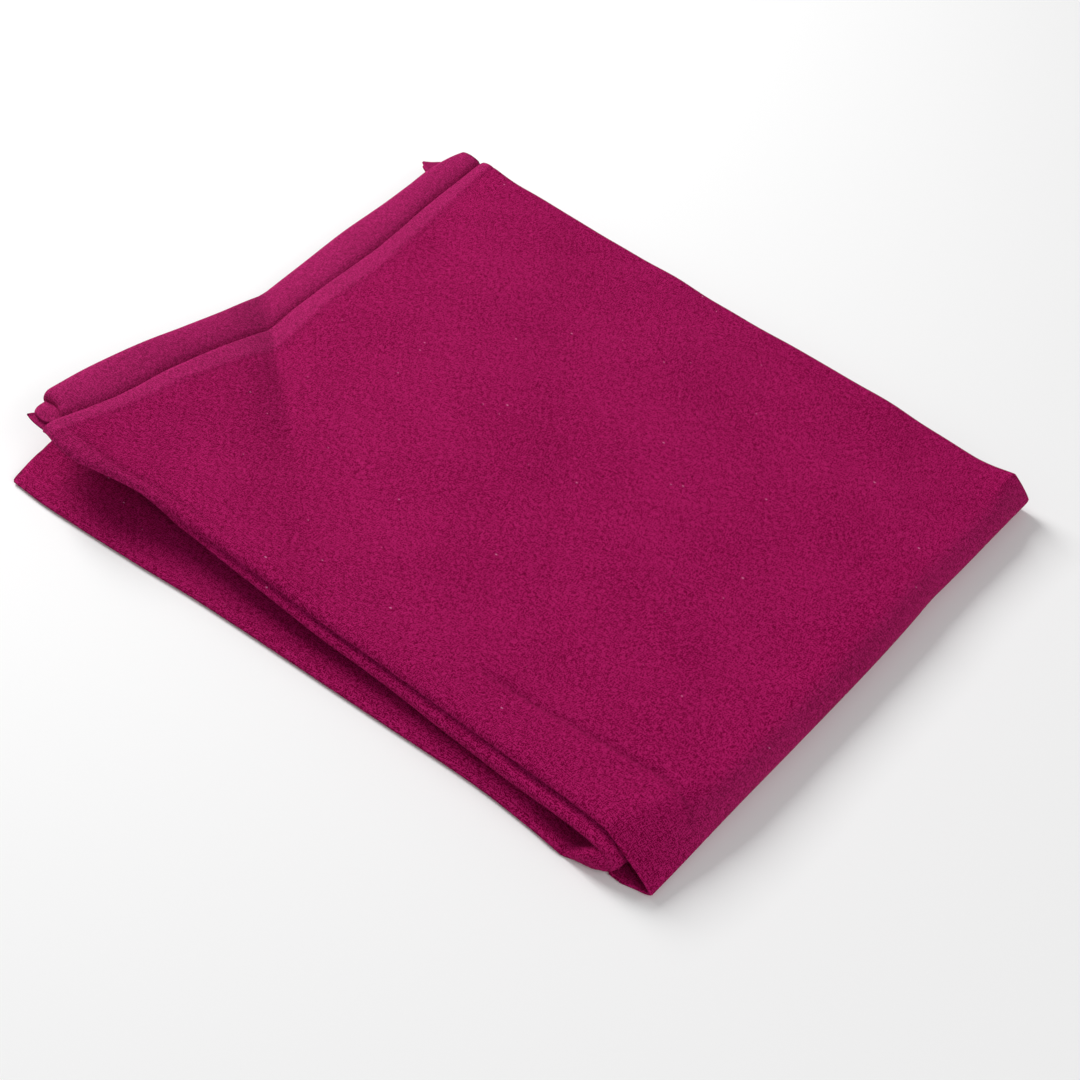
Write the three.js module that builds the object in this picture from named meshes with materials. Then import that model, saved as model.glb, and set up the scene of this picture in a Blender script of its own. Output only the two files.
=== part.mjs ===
// A length of plain cotton turban cloth, folded flat into a packet and lying on its underside.
// Millimetres, +Z up. +X runs along the long side towards the rounded spine fold, +Y along the short side.
// The cloth's plies are grouped into three nested layers. Each layer is a sheet wrapped round the spine,
// so it has an upper leaf, a rounded nose at the spine and a lower leaf on the ground.
import * as THREE from "three";

// Driving sizes of the packet
const packetLength = 312; // along X, from the open far-left side to the spine
const packetDepth = 267; // along Y, from the open near-left side to the far side
const restingHeight = { farLeft: 19.5, spine: 16 }; // height of the packed field, well inside its edges
const leafGap = 0.95; // air between two layers that lie on each other
const coverWall = 1.5; // plies of the outermost layer, pressed together
const middleWallShare = 0.26; // one wall of the middle leaf, as a share of that leaf's thickness
const coreShare = { from: 0.43, to: 0.57 }; // the core, between the walls of the middle leaf
const upperLeafMost = 7; // thickness of the bundle's upper leaf where nothing presses on it
const openingLeast = 0.6; // the packet opens between the upper and the lower leaf, at least this far
const flapEdgeThickness = 2.8; // the lower leaf thins to this at the edge of the flap on the ground
const foldReach = 3.1; // the middle leaf's folded edge rounds out this far past the ends of its walls
const bundleFarInset = 3; // what lies inside the cover stops this far short of the cover's far side
const coverUnderStart = 3; // far-left end of the cover's lower leaf, along X

// The lifted left corner and the crease that it hinges on
const crease = { startY: 132, slope: -0.82, depth: 4.2, fade: 55, nearSide: 22, farSide: 38 };
const lift = { height: 12, reach: 100, power: 1.6 };

// Height of the near-left edge over the resting height, by position along X
const nearEdgeSwell = [
  { x: 0, rise: 0 },
  { x: 47, rise: 0 },
  { x: 110, rise: 3 },
  { x: 170, rise: 4 },
  { x: 231, rise: 3.4 },
  { x: 280, rise: 4 },
  { x: 316, rise: 4 },
];
const swellReach = 48; // the swelling dies away over this distance from the near-left edge
const swellPower = 1.5;

// Thickness of the bundle's lower leaf, by position along X
const lowerLeafThickness = [
  { x: 0, thick: 4 },
  { x: 60, thick: 4.4 },
  { x: 130, thick: 5 },
  { x: 316, thick: 5 },
];

// Far-left edge of the top sheet, by position along Y
const coverFarLeftEdge = [
  { y: -5, x: 9 },
  { y: 17, x: 9.5 },
  { y: 59, x: 14 },
  { y: 90, x: 17 },
  { y: 130, x: 18.5 },
  { y: 188, x: 15 },
  { y: 270, x: 11 },
];

// Near-left and far sides of each layer, by position along X
const coverNearEdge = [
  { x: 0, y: 3 },
  { x: 47, y: 4.5 },
  { x: 170, y: 4.5 },
  { x: 280, y: 3.5 },
  { x: 312, y: 0 },
];
const coverLowerNearEdge = [
  { x: 0, y: 14 },
  { x: 250, y: 14 },
  { x: 285, y: 4 },
  { x: 300, y: -1.5 },
  { x: 312, y: 0 },
];
const flapStep = { clear: 4, width: 11 }; // the flap steps down to the ground past the cover's lower edge
const coverFarEdge = [
  { x: 0, y: 270 },
  { x: 24, y: 269.5 },
  { x: 262, y: 263 },
  { x: 300, y: 260.5 },
  { x: 317, y: 262 },
];
const upperLeafNearEdge = [
  { x: 0, y: 5 },
  { x: 60, y: 5 },
  { x: 95, y: 1.5 },
  { x: 230, y: 0 },
  { x: 300, y: -2.5 },
];
const flapNearEdge = [
  { x: 0, y: -14.2 },
  { x: 18, y: -14.6 },
  { x: 66, y: -12 },
  { x: 101, y: -9.3 },
  { x: 191, y: -6 },
  { x: 245, y: -5.1 },
  { x: 275, y: -6.6 },
  { x: 300, y: -3 },
];

// Far-left ends of the leaves inside the cover, by position along Y
const middleFarLeftEdge = [
  { y: -15, x: -3 },
  { y: 2, x: -3.5 },
  { y: 12, x: -6 },
  { y: 30, x: -6 },
  { y: 77, x: -3 },
  { y: 110, x: 1 },
  { y: 143, x: 2.5 },
  { y: 175, x: 1 },
  { y: 224, x: 0 },
  { y: 270, x: 0 },
];
const flapFarLeftEdge = [
  { y: -15, x: 2 },
  { y: 3, x: -2 },
  { y: 12, x: -1.6 },
  { y: 60, x: 0 },
  { y: 270, x: 2 },
];
const coreFarLeftEdge = [
  { y: -2, x: -4 },
  { y: 8, x: -2 },
  { y: 30, x: 0 },
  { y: 110, x: 4 },
  { y: 225, x: 4 },
  { y: 243, x: -1 },
  { y: 250, x: -7 },
  { y: 258, x: -4 },
  { y: 264, x: 2 },
  { y: 270, x: 4 },
];

// The spine: where each layer turns round, at the near-left side and well inside
const spineEdge = [
  { y: -5, x: 311.6 },
  { y: 0, x: 312.2 },
  { y: 160, x: 315.2 },
  { y: 240, x: 316 },
  { y: 270, x: 316.6 },
];
const spineBlend = 55; // distance along Y over which the slack near end becomes a full round nose
const coverNose = { startNear: 280, startInside: 295, tipHeight: 3.6, turn: 5 };
const bundleNose = { startNear: 268, startInside: 282, tipNear: 296, tipInside: 308, turn: 7, innerTurn: 1 };
const bundleTipShare = 0.38; // height of the inner nose's tip, as a share of the stack under its start
const slackNosePower = 1.5; // a nose falls to its tip in a flatter, more pointed curve where it is slack

// Rolled edges of the top sheet
const farLeftRoll = { width: 7, drop: 1.5, ridge: 0.6, ridgeAt: 8, ridgeWidth: 5 };
const nearRoll = { width: 6, drop: 2.6 };
const underRoll = { nearDrop: 3.3, farLeftDrop: 2 }; // what lies under them drops a little more
const outerRidgeRoll = { width: 7, drop: 2 }; // the middle leaf's edge, which stands out from the cover

const clamp01 = (t) => Math.min(1, Math.max(0, t));
const mix = (a, b, t) => a + (b - a) * t;
const ease = (t) => clamp01(t) ** 2 * (3 - 2 * clamp01(t));

// Reads a table of named columns at one place, with a smooth curve through its rows.
function readTable(table, at, value, place) {
  const last = table.length - 1;
  let k = 0;
  while (k < last - 1 && place > table[k + 1][at]) k += 1;
  const row = table[k];
  const next = table[k + 1];
  const span = next[at] - row[at];
  const t = clamp01((place - row[at]) / span);
  const slopeOf = (i) => {
    const low = table[Math.max(0, i - 1)];
    const high = table[Math.min(last, i + 1)];
    return (high[value] - low[value]) / (high[at] - low[at]);
  };
  const startPull = slopeOf(k) * span * t * (1 - t) ** 2;
  const endPull = -slopeOf(k + 1) * span * t * t * (1 - t);
  return mix(row[value], next[value], ease(t)) + startPull + endPull;
}

// Drop of a rolled edge at a distance inside it, a quarter of an ellipse.
function rollDrop(distance, { width, drop }) {
  const across = 1 - clamp01(distance / width);
  return drop * (1 - Math.sqrt(1 - across * across));
}

// Height of the packed stack over the ground, before any edge is rolled and before the spine's nose.
function stackHeight(x, y) {
  const fromNearEdge = Math.max(0, y) / swellReach;
  const swell = readTable(nearEdgeSwell, "x", "rise", x) * Math.exp(-(fromNearEdge ** swellPower));
  const creaseLine = crease.startY + crease.slope * x;
  const fromCrease = (y - creaseLine) / Math.hypot(1, crease.slope);
  const width = fromCrease > 0 ? crease.farSide : crease.nearSide;
  const creaseDepth = crease.depth * Math.exp(-Math.max(0, x) / crease.fade);
  const dip = creaseDepth * Math.exp(-((fromCrease / width) ** 2));
  const raised = lift.height * clamp01(-fromCrease / lift.reach) ** lift.power;
  return mix(restingHeight.farLeft, restingHeight.spine, clamp01(x / packetLength)) + swell - dip + raised;
}

// One point of a nose in the XZ plane. turn runs from 1 at the top, through 0 at the tip, to -1 underneath.
function nosePoint(turn, { start, tip, top, tipHeight, bottom, radius, power }) {
  const angle = (turn * Math.PI) / 2;
  const along = Math.cos(angle);
  const over = Math.sin(Math.abs(angle));
  if (turn >= 0) {
    return { x: start + (tip - start) * along ** power, z: tipHeight + (top - tipHeight) * over ** power };
  }
  return { x: tip - radius + radius * along, z: tipHeight - (tipHeight - bottom) * over };
}

// Places along X that change with Y: where each nose starts, its tip, and where it has turned underneath.
const slackAt = (y) => 1 - ease(y / spineBlend);
const coverNoseStart = (y) => mix(coverNose.startInside, coverNose.startNear, slackAt(y));
const coverTurnEnd = (y) => readTable(spineEdge, "y", "x", y) - coverNose.turn;
const bundleNoseStart = (y) => mix(bundleNose.startInside, bundleNose.startNear, slackAt(y));
const bundleTip = (y) => mix(bundleNose.tipInside, bundleNose.tipNear, slackAt(y));
const bundleTurnEnd = (y) => bundleTip(y) - bundleNose.turn;

// The cover's outside and inside faces, as one path from the far-left edge over the spine and back under.
// along is { leaf: "upper", x } or { turn } or { leaf: "lower", x }, and depth is 0 outside, 1 inside.
function coverFace(along, y, depth) {
  const wall = coverWall * depth;
  const start = coverNoseStart(y);
  const topAt = (x) => {
    const fromFarLeft = x - readTable(coverFarLeftEdge, "y", "x", y);
    const fromNear = y - readTable(coverNearEdge, "x", "y", x);
    const fromRidge = (fromFarLeft - farLeftRoll.ridgeAt) / farLeftRoll.ridgeWidth;
    const bump = farLeftRoll.ridge * Math.exp(-(fromRidge ** 2));
    const rolled = rollDrop(fromFarLeft, farLeftRoll) + rollDrop(fromNear, nearRoll);
    return stackHeight(x, y) + bump - rolled - wall;
  };
  if (along.leaf === "upper") return { x: along.x, z: topAt(along.x) };
  if (along.leaf === "lower") return { x: along.x, z: wall };
  return nosePoint(along.turn, {
    start,
    tip: readTable(spineEdge, "y", "x", y) - wall,
    top: topAt(start),
    tipHeight: coverNose.tipHeight,
    bottom: wall,
    radius: coverNose.turn - wall,
    power: mix(1, slackNosePower, slackAt(y)),
  });
}

// The underside of the bundle's lower leaf: it lies on the cover, and on the ground past the cover's edge.
function lowerLeafBase(x, y) {
  const pastEdge = readTable(coverLowerNearEdge, "x", "y", x) - y - flapStep.clear;
  return (coverWall + leafGap) * (1 - ease(pastEdge / flapStep.width));
}

// The bundle inside the cover: a point at a share of its thickness, 0 on its outside and 1 on its inside.
function bundlePoint(along, y, share) {
  const start = bundleNoseStart(y);
  const lower = (x) => {
    const base = lowerLeafBase(x, y);
    const flapReach = -readTable(flapNearEdge, "x", "y", x);
    const inside = ease((y + flapReach) / (2 * flapReach));
    const thick = mix(flapEdgeThickness, readTable(lowerLeafThickness, "x", "thick", x), inside);
    return { base, top: base + thick };
  };
  const upper = (x) => {
    const fromNear = y - readTable(coverNearEdge, "x", "y", x);
    const fromCoverEdge = x - readTable(coverFarLeftEdge, "y", "x", y);
    const nearDrop = rollDrop(fromNear, { width: nearRoll.width, drop: underRoll.nearDrop });
    const farLeftDrop = rollDrop(fromCoverEdge, { width: farLeftRoll.width, drop: underRoll.farLeftDrop });
    const rolled = nearDrop + farLeftDrop;
    const under = coverWall + leafGap + rolled;
    const fromOuterRidge = x - readTable(middleFarLeftEdge, "y", "x", y);
    const top = stackHeight(x, y) - under - rollDrop(fromOuterRidge, outerRidgeRoll);
    return { top, low: Math.max(top - upperLeafMost, lower(x).top + openingLeast) };
  };
  if (along.leaf === "upper") {
    const { top, low } = upper(along.x);
    return { x: along.x, z: mix(top, low, share) };
  }
  if (along.leaf === "lower") {
    const { base, top } = lower(along.x);
    return { x: along.x, z: mix(base, top, share) };
  }
  const above = upper(start);
  const below = lower(bundleTurnEnd(y));
  const middle = (above.low + below.top) / 2;
  const radius = mix(bundleNose.turn, bundleNose.innerTurn, share);
  return nosePoint(along.turn, {
    start,
    tip: bundleTurnEnd(y) + radius,
    top: mix(above.top, above.low, share),
    tipHeight: mix(mix(below.base, above.top, bundleTipShare), middle, share),
    bottom: mix(below.base, below.top, share),
    radius,
    power: mix(1, slackNosePower, slackAt(y)),
  });
}

// A closed solid between two grids of points, with its four borders closed by strips.
function sheetSolid(outer, inner) {
  const rows = outer.length;
  const columns = outer[0].length;
  const lastRow = rows - 1;
  const lastColumn = columns - 1;
  const index = [];
  const outerAt = (i, j) => i * columns + j;
  const innerAt = (i, j) => rows * columns + i * columns + j;
  const points = [...outer.flat(), ...inner.flat()];
  const quad = (a, b, c, d) => {
    const acrossFirst = points[a].distanceTo(points[c]) < points[b].distanceTo(points[d]);
    index.push(...(acrossFirst ? [a, b, c, a, c, d] : [a, b, d, b, c, d]));
  };
  for (let i = 0; i < lastRow; i += 1) {
    for (let j = 0; j < lastColumn; j += 1) {
      quad(outerAt(i, j), outerAt(i + 1, j), outerAt(i + 1, j + 1), outerAt(i, j + 1));
      quad(innerAt(i, j), innerAt(i, j + 1), innerAt(i + 1, j + 1), innerAt(i + 1, j));
    }
  }
  for (let i = 0; i < lastRow; i += 1) {
    quad(outerAt(i, 0), innerAt(i, 0), innerAt(i + 1, 0), outerAt(i + 1, 0));
    const next = i + 1;
    quad(outerAt(i, lastColumn), outerAt(next, lastColumn), innerAt(next, lastColumn), innerAt(i, lastColumn));
  }
  for (let j = 0; j < lastColumn; j += 1) {
    quad(outerAt(0, j), outerAt(0, j + 1), innerAt(0, j + 1), innerAt(0, j));
    quad(outerAt(lastRow, j), innerAt(lastRow, j), innerAt(lastRow, j + 1), outerAt(lastRow, j + 1));
  }
  const geometry = new THREE.BufferGeometry();
  geometry.setFromPoints(points);
  geometry.setIndex(index);
  geometry.computeVertexNormals();
  return geometry;
}

// Stations along the wrap: the upper leaf, the nose and the lower leaf, each as a share of its own stretch.
const evenly = (count) => Array.from({ length: count + 1 }, (_, i) => i / count);
const noseTurns = (steps) => evenly(steps).map((t) => 1 - 2 * t);
const edgeCrowded = (count, power) => evenly(count).map((t) => t ** power);

function wrapStations(upperShares, noseSteps, lowerShares) {
  const upper = upperShares.map((share) => ({ leaf: "upper", share }));
  const nose = noseTurns(noseSteps).slice(1, -1).map((turn) => ({ turn }));
  const lower = lowerShares.map((share) => ({ leaf: "lower", share }));
  return [...upper, ...nose, ...lower];
}

// Finds where a station lies along X at one Y: from the far-left edge to the nose, or from the turn back.
function placeStation(station, y, edges) {
  if (station.leaf === "upper") {
    return { leaf: "upper", x: mix(edges.upperEnd(y), edges.noseStart(y), station.share) };
  }
  if (station.leaf === "lower") {
    return { leaf: "lower", x: mix(edges.turnEnd(y), edges.lowerEnd(y), station.share) };
  }
  return station;
}

// How far Y is through the near-left edges, which differ between the upper and the lower leaf.
function nearEdgeOf(station, x, upperTable, lowerTable) {
  if (station.leaf === "upper") return readTable(upperTable, "x", "y", x);
  if (station.leaf === "lower") return readTable(lowerTable, "x", "y", x);
  const atUpper = readTable(upperTable, "x", "y", x);
  const atLower = readTable(lowerTable, "x", "y", x);
  return mix(atLower, atUpper, ease((station.turn + 1) / 2));
}

// One layer that lies flat across Y, such as the cover or the core.
function flatLayer({ stations, acrossShares, edges, nearUpper, nearLower, farInset, face, depths }) {
  const grid = (depth) =>
    stations.map((station) =>
      acrossShares.map((share) => {
        const roughY = share * packetDepth;
        const rough = placeStation(station, roughY, edges);
        const roughX = rough.leaf ? rough.x : face(rough, roughY, depth).x;
        const nearY = nearEdgeOf(station, roughX, nearUpper, nearLower);
        const farY = readTable(coverFarEdge, "x", "y", roughX) - farInset;
        const y = mix(nearY, farY, share);
        const point = face(placeStation(station, y, edges), y, depth);
        return new THREE.Vector3(point.x, y, point.z);
      }),
    );
  return sheetSolid(grid(depths.outside), grid(depths.inside));
}

// The middle leaf: a sheet folded along X at its near-left edge, with two walls that reach the far side.
function foldedLayer({ stations, wallShares, edges, nearUpper, nearLower, farInset }) {
  const outsideRoute = [];
  const insideRoute = [];
  for (const share of [...wallShares].reverse()) {
    outsideRoute.push({ share, depth: 0, reach: 0 });
    insideRoute.push({ share, depth: middleWallShare, reach: 0 });
  }
  for (const t of evenly(foldSteps).slice(1, -1)) {
    const reach = Math.sin(t * Math.PI);
    const swing = (1 - Math.cos(t * Math.PI)) / 2;
    outsideRoute.push({ share: 0, depth: swing, reach });
    insideRoute.push({ share: 0, depth: mix(middleWallShare, 1 - middleWallShare, swing), reach });
  }
  for (const share of wallShares) {
    outsideRoute.push({ share, depth: 1, reach: 0 });
    insideRoute.push({ share, depth: 1 - middleWallShare, reach: 0 });
  }
  const grid = (route, inset) =>
    stations.map((station) =>
      route.map(({ share, depth, reach }) => {
        const roughY = share * packetDepth;
        const rough = placeStation(station, roughY, edges);
        const roughX = rough.leaf ? rough.x : bundlePoint(rough, roughY, depth).x;
        const nearY = nearEdgeOf(station, roughX, nearUpper, nearLower) + foldReach;
        const farY = readTable(coverFarEdge, "x", "y", roughX) - farInset;
        const y = mix(nearY, farY, share) - reach * (foldReach - inset);
        const point = bundlePoint(placeStation(station, y, edges), y, depth);
        return new THREE.Vector3(point.x, y, point.z);
      }),
    );
  return sheetSolid(grid(insideRoute, coverWall), grid(outsideRoute, 0)); // its rows run from the far side
}

// How finely each layer is drawn. Stations crowd towards the rolled edges.
const acrossShares = edgeCrowded(13, 1.8);
const coverStations = wrapStations(edgeCrowded(26, 1.6), 10, evenly(4));
const bundleStations = wrapStations(edgeCrowded(24, 1.6), 8, evenly(9));
const foldSteps = 6;

const outerFold = flatLayer({
  stations: coverStations,
  acrossShares,
  edges: {
    upperEnd: (y) => readTable(coverFarLeftEdge, "y", "x", y),
    noseStart: coverNoseStart,
    turnEnd: coverTurnEnd,
    lowerEnd: () => coverUnderStart,
  },
  nearUpper: coverNearEdge,
  nearLower: coverLowerNearEdge,
  farInset: 0,
  face: coverFace,
  depths: { outside: 0, inside: 1 },
});

const bundleEdges = (farLeftTable) => ({
  upperEnd: (y) => readTable(farLeftTable, "y", "x", y),
  noseStart: bundleNoseStart,
  turnEnd: bundleTurnEnd,
  lowerEnd: (y) => readTable(flapFarLeftEdge, "y", "x", y),
});

const middleFold = foldedLayer({
  stations: bundleStations,
  wallShares: acrossShares,
  edges: bundleEdges(middleFarLeftEdge),
  nearUpper: upperLeafNearEdge,
  nearLower: flapNearEdge,
  farInset: bundleFarInset,
});

// The core stops short of the middle leaf's folded edge, and has a loose corner near the far side.
const looseCornerShares = [0.905, 0.934, 0.965, 0.988];
const coreStart = 2;
const coreShares = [...acrossShares.slice(coreStart), ...looseCornerShares].sort((a, b) => a - b);
const insideFold = (table) => table.map(({ x, y }) => ({ x, y: y + foldReach }));

const coreFold = flatLayer({
  stations: bundleStations,
  acrossShares: coreShares,
  edges: bundleEdges(coreFarLeftEdge),
  nearUpper: insideFold(upperLeafNearEdge),
  nearLower: insideFold(flapNearEdge),
  farInset: bundleFarInset,
  face: bundlePoint,
  depths: { outside: coreShare.from, inside: coreShare.to },
});

const cottonTop = new THREE.MeshStandardMaterial({ color: 0x97144f, roughness: 0.92, metalness: 0 });
const cottonInside = new THREE.MeshStandardMaterial({ color: 0x8c1249, roughness: 0.92, metalness: 0 });
const cottonCore = new THREE.MeshStandardMaterial({ color: 0x7f1042, roughness: 0.94, metalness: 0 });

const layers = [
  { name: "outer_fold", geometry: outerFold, material: cottonTop },
  { name: "middle_fold", geometry: middleFold, material: cottonInside },
  { name: "core_fold", geometry: coreFold, material: cottonCore },
];

// The origin is the middle of the packet's box, on the ground.
const whole = new THREE.Box3();
for (const { geometry } of layers) {
  geometry.computeBoundingBox();
  whole.union(geometry.boundingBox);
}
const middle = whole.getCenter(new THREE.Vector3());

const foldedTurbanCloth = new THREE.Group();
foldedTurbanCloth.name = "folded_turban_cloth";
for (const { name, geometry, material } of layers) {
  geometry.translate(-middle.x, -middle.y, -whole.min.z);
  const mesh = new THREE.Mesh(geometry, material);
  mesh.name = name;
  foldedTurbanCloth.add(mesh);
}

export default foldedTurbanCloth;
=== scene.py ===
import bpy
import numpy as np
from mathutils import Matrix, Vector


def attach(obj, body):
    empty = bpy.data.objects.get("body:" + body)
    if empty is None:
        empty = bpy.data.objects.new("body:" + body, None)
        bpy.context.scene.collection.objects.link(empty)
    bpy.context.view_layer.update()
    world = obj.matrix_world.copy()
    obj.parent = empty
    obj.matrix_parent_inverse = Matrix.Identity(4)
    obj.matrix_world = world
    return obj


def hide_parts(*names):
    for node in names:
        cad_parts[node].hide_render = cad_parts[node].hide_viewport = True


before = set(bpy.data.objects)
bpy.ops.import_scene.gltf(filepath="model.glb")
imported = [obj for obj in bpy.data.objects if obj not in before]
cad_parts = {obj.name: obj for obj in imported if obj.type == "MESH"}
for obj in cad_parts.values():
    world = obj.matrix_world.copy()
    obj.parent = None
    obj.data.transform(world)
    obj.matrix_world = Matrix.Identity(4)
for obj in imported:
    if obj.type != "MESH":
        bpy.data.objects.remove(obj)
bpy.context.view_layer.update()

packetMiddle = (154.7235, 127.8697, 0.0)  # the part's origin, seen in the packet's frame
metres = 0.001


def mix(a, b, t):
    return a + (b - a) * t


def ease(t):
    # A smooth step from 0 to 1: three times t squared less two times t cubed.
    t = np.clip(t, 0, 1)
    return t * t * (3 - 2 * t)


def rises(place, start, over):
    # 0 up to the start, then eased up to 1 over a length.
    return ease((place - start) / over)


def falls(place, end, over):
    # 1 at first, then eased down over a length to 0 at the end.
    return ease((end - place) / over)


def bell(distance, width):
    # A bell curve: 1 in the middle, and e to the power of minus the square of distance over width.
    return np.exp(-((distance / width) ** 2))


def readTable(rows, place):
    # A smooth curve through rows of (place, value). Between two rows it eases from one value to the next,
    # and it leaves each row at the slope between that row's neighbours.
    at, value = np.array(rows, float).T
    slope = np.gradient(value, at)
    slope[1:-1] = (value[2:] - value[:-2]) / (at[2:] - at[:-2])
    k = np.clip(np.searchsorted(at, place) - 1, 0, len(at) - 2)
    span = at[k + 1] - at[k]
    t = np.clip((place - at[k]) / span, 0, 1)
    pull = slope[k] * span * t * (1 - t) ** 2 - slope[k + 1] * span * t * t * (1 - t)
    return mix(value[k], value[k + 1], ease(t)) + pull


def rolled(distance, width, drop):
    # How far a rolled edge has dropped at a distance inside it: a quarter of an ellipse.
    across = 1 - np.clip(distance / width, 0, 1)
    return drop * (1 - np.sqrt(1 - across * across))


# The stack as a whole. A From or To pair is the place where something begins or ends, and the length
# over which it fades.
stack = {
    "farLeftHeight": 19.5,
    "spineHeight": 16.0,
    "length": 312.0,
    "width": 267,
    "nearSwell": [(0, 0), (47, 0), (110, 3), (170, 4), (231, 3.4), (280, 4), (316, 4)],
    "swellReach": 48,
    "swellPower": 1.5,
    "creaseStart": 132,  # where the diagonal crease meets the far-left side, along y
    "creaseSlope": -0.82,
    "creaseDepth": 5.2,
    "creaseRound": 2.0,  # the small round at the bottom of the crease
    "creaseNearWidth": 16,
    "creaseFarWidth": 44,
    "creaseFade": 85,
    "liftHeight": 13.0,  # the raised corner
    "liftReach": 50,
    "liftPower": 1.15,
    "liftFade": 120,
    "waves": [(0.32, 97, 141, 0.3), (0.22, 61, -83, 1.9), (0.14, 37, 52, 4.1), (0.1, -29, 23, 2.2)],
    "wavesFrom": (-4, 30),  # along y and along x; a wave's row is its height, length in x and in y, and phase
    "dent": [
        (190, 26), (211, 27), (237, 29), (263, 31.3), (280, 32.8), (291, 33.8), (305, 29.5), (313, 24),
        (320, 19),
    ],
    "dentDepth": 1.5,
    "dentWidth": 1.5,
    "dentFrom": (196, 30),
    "dentTo": (330, 30),
    "pressLine": [(0, 5), (17, 5.1), (28, 5.1), (40, 5.4), (49, 6.2), (60, 8.2), (100, 10), (200, 12)],
    "pressDepth": 0.6,
    "pressWidth": 1.3,
    "pressFrom": (8, 12),
    "pressTo": (130, 70),
    "innerLineDepth": 0.35,  # the line where the far-left strip begins
    "innerLineShift": 1.0,
    "innerLineWidth": 1.6,
    "innerLineFrom": (12, 6),
    "farCornerLift": 1.9,  # the spine's far end stands up a little
    "farCornerPlace": (313, 262),
    "farCornerWidth": (11, 14),
    "slackReach": 55,  # the spine is slack this far from the near side
}


def fromCrease(x, y):
    # Distance from the crease, more than 0 on the side of the far corner.
    line = stack["creaseStart"] + stack["creaseSlope"] * x
    return (y - line) / np.hypot(1, stack["creaseSlope"])


def pressedLines(x, y):
    # Depth of the dent by the near corner, the near margin's line and the strip's inner line: bell curves
    # across each line, which fade at its ends.
    dent = bell(y - readTable(stack["dent"], x), stack["dentWidth"])
    dent = dent * rises(x, *stack["dentFrom"]) * falls(x, *stack["dentTo"])
    margin = bell(y - readTable(stack["pressLine"], x), stack["pressWidth"])
    margin = margin * rises(x, *stack["pressFrom"]) * falls(x, *stack["pressTo"])
    inner = bell(x - edgeAt("bandInner", y) - stack["innerLineShift"], stack["innerLineWidth"])
    inner = inner * rises(x, *stack["innerLineFrom"])
    return stack["dentDepth"] * dent + stack["pressDepth"] * margin + stack["innerLineDepth"] * inner


def stackTop(x, y):
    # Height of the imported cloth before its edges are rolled: a slow fall to the spine, a swelling along the
    # near side, a valley at the crease, the raised corner, pressed lines and a few long waves.
    base = mix(stack["farLeftHeight"], stack["spineHeight"], np.clip(x / stack["length"], 0, 1))
    fromNear = np.maximum(y, 0) / stack["swellReach"]
    swell = readTable(stack["nearSwell"], x) * np.exp(-(fromNear ** stack["swellPower"]))
    side = fromCrease(x, y)
    depth = stack["creaseDepth"] * np.exp(-np.maximum(x, 0) / stack["creaseFade"])
    soft = np.sqrt(side * side + stack["creaseRound"] ** 2) - stack["creaseRound"]
    nearDip = np.exp(-soft / stack["creaseNearWidth"])
    dip = depth * np.where(side > 0, bell(side, stack["creaseFarWidth"]), nearDip)
    past = np.maximum(-side, 0) / stack["liftReach"]
    lift = stack["liftHeight"] * (1 - np.exp(-(past ** stack["liftPower"])))
    raised = lift * np.exp(-np.maximum(x, 0) / stack["liftFade"])
    waves = sum(
        height * np.sin(2 * np.pi * (x / alongX + y / alongY) + phase)
        for height, alongX, alongY, phase in stack["waves"]
    )
    calm = rises(y, *stack["wavesFrom"]) * rises(x, *stack["wavesFrom"])
    cornerX, cornerY = stack["farCornerPlace"]
    widthX, widthY = stack["farCornerWidth"]
    farCorner = stack["farCornerLift"] * bell(x - cornerX, widthX) * bell(np.minimum(y - cornerY, 0), widthY)
    return base + swell - dip + raised + waves * calm - pressedLines(x, y) + farCorner


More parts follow.
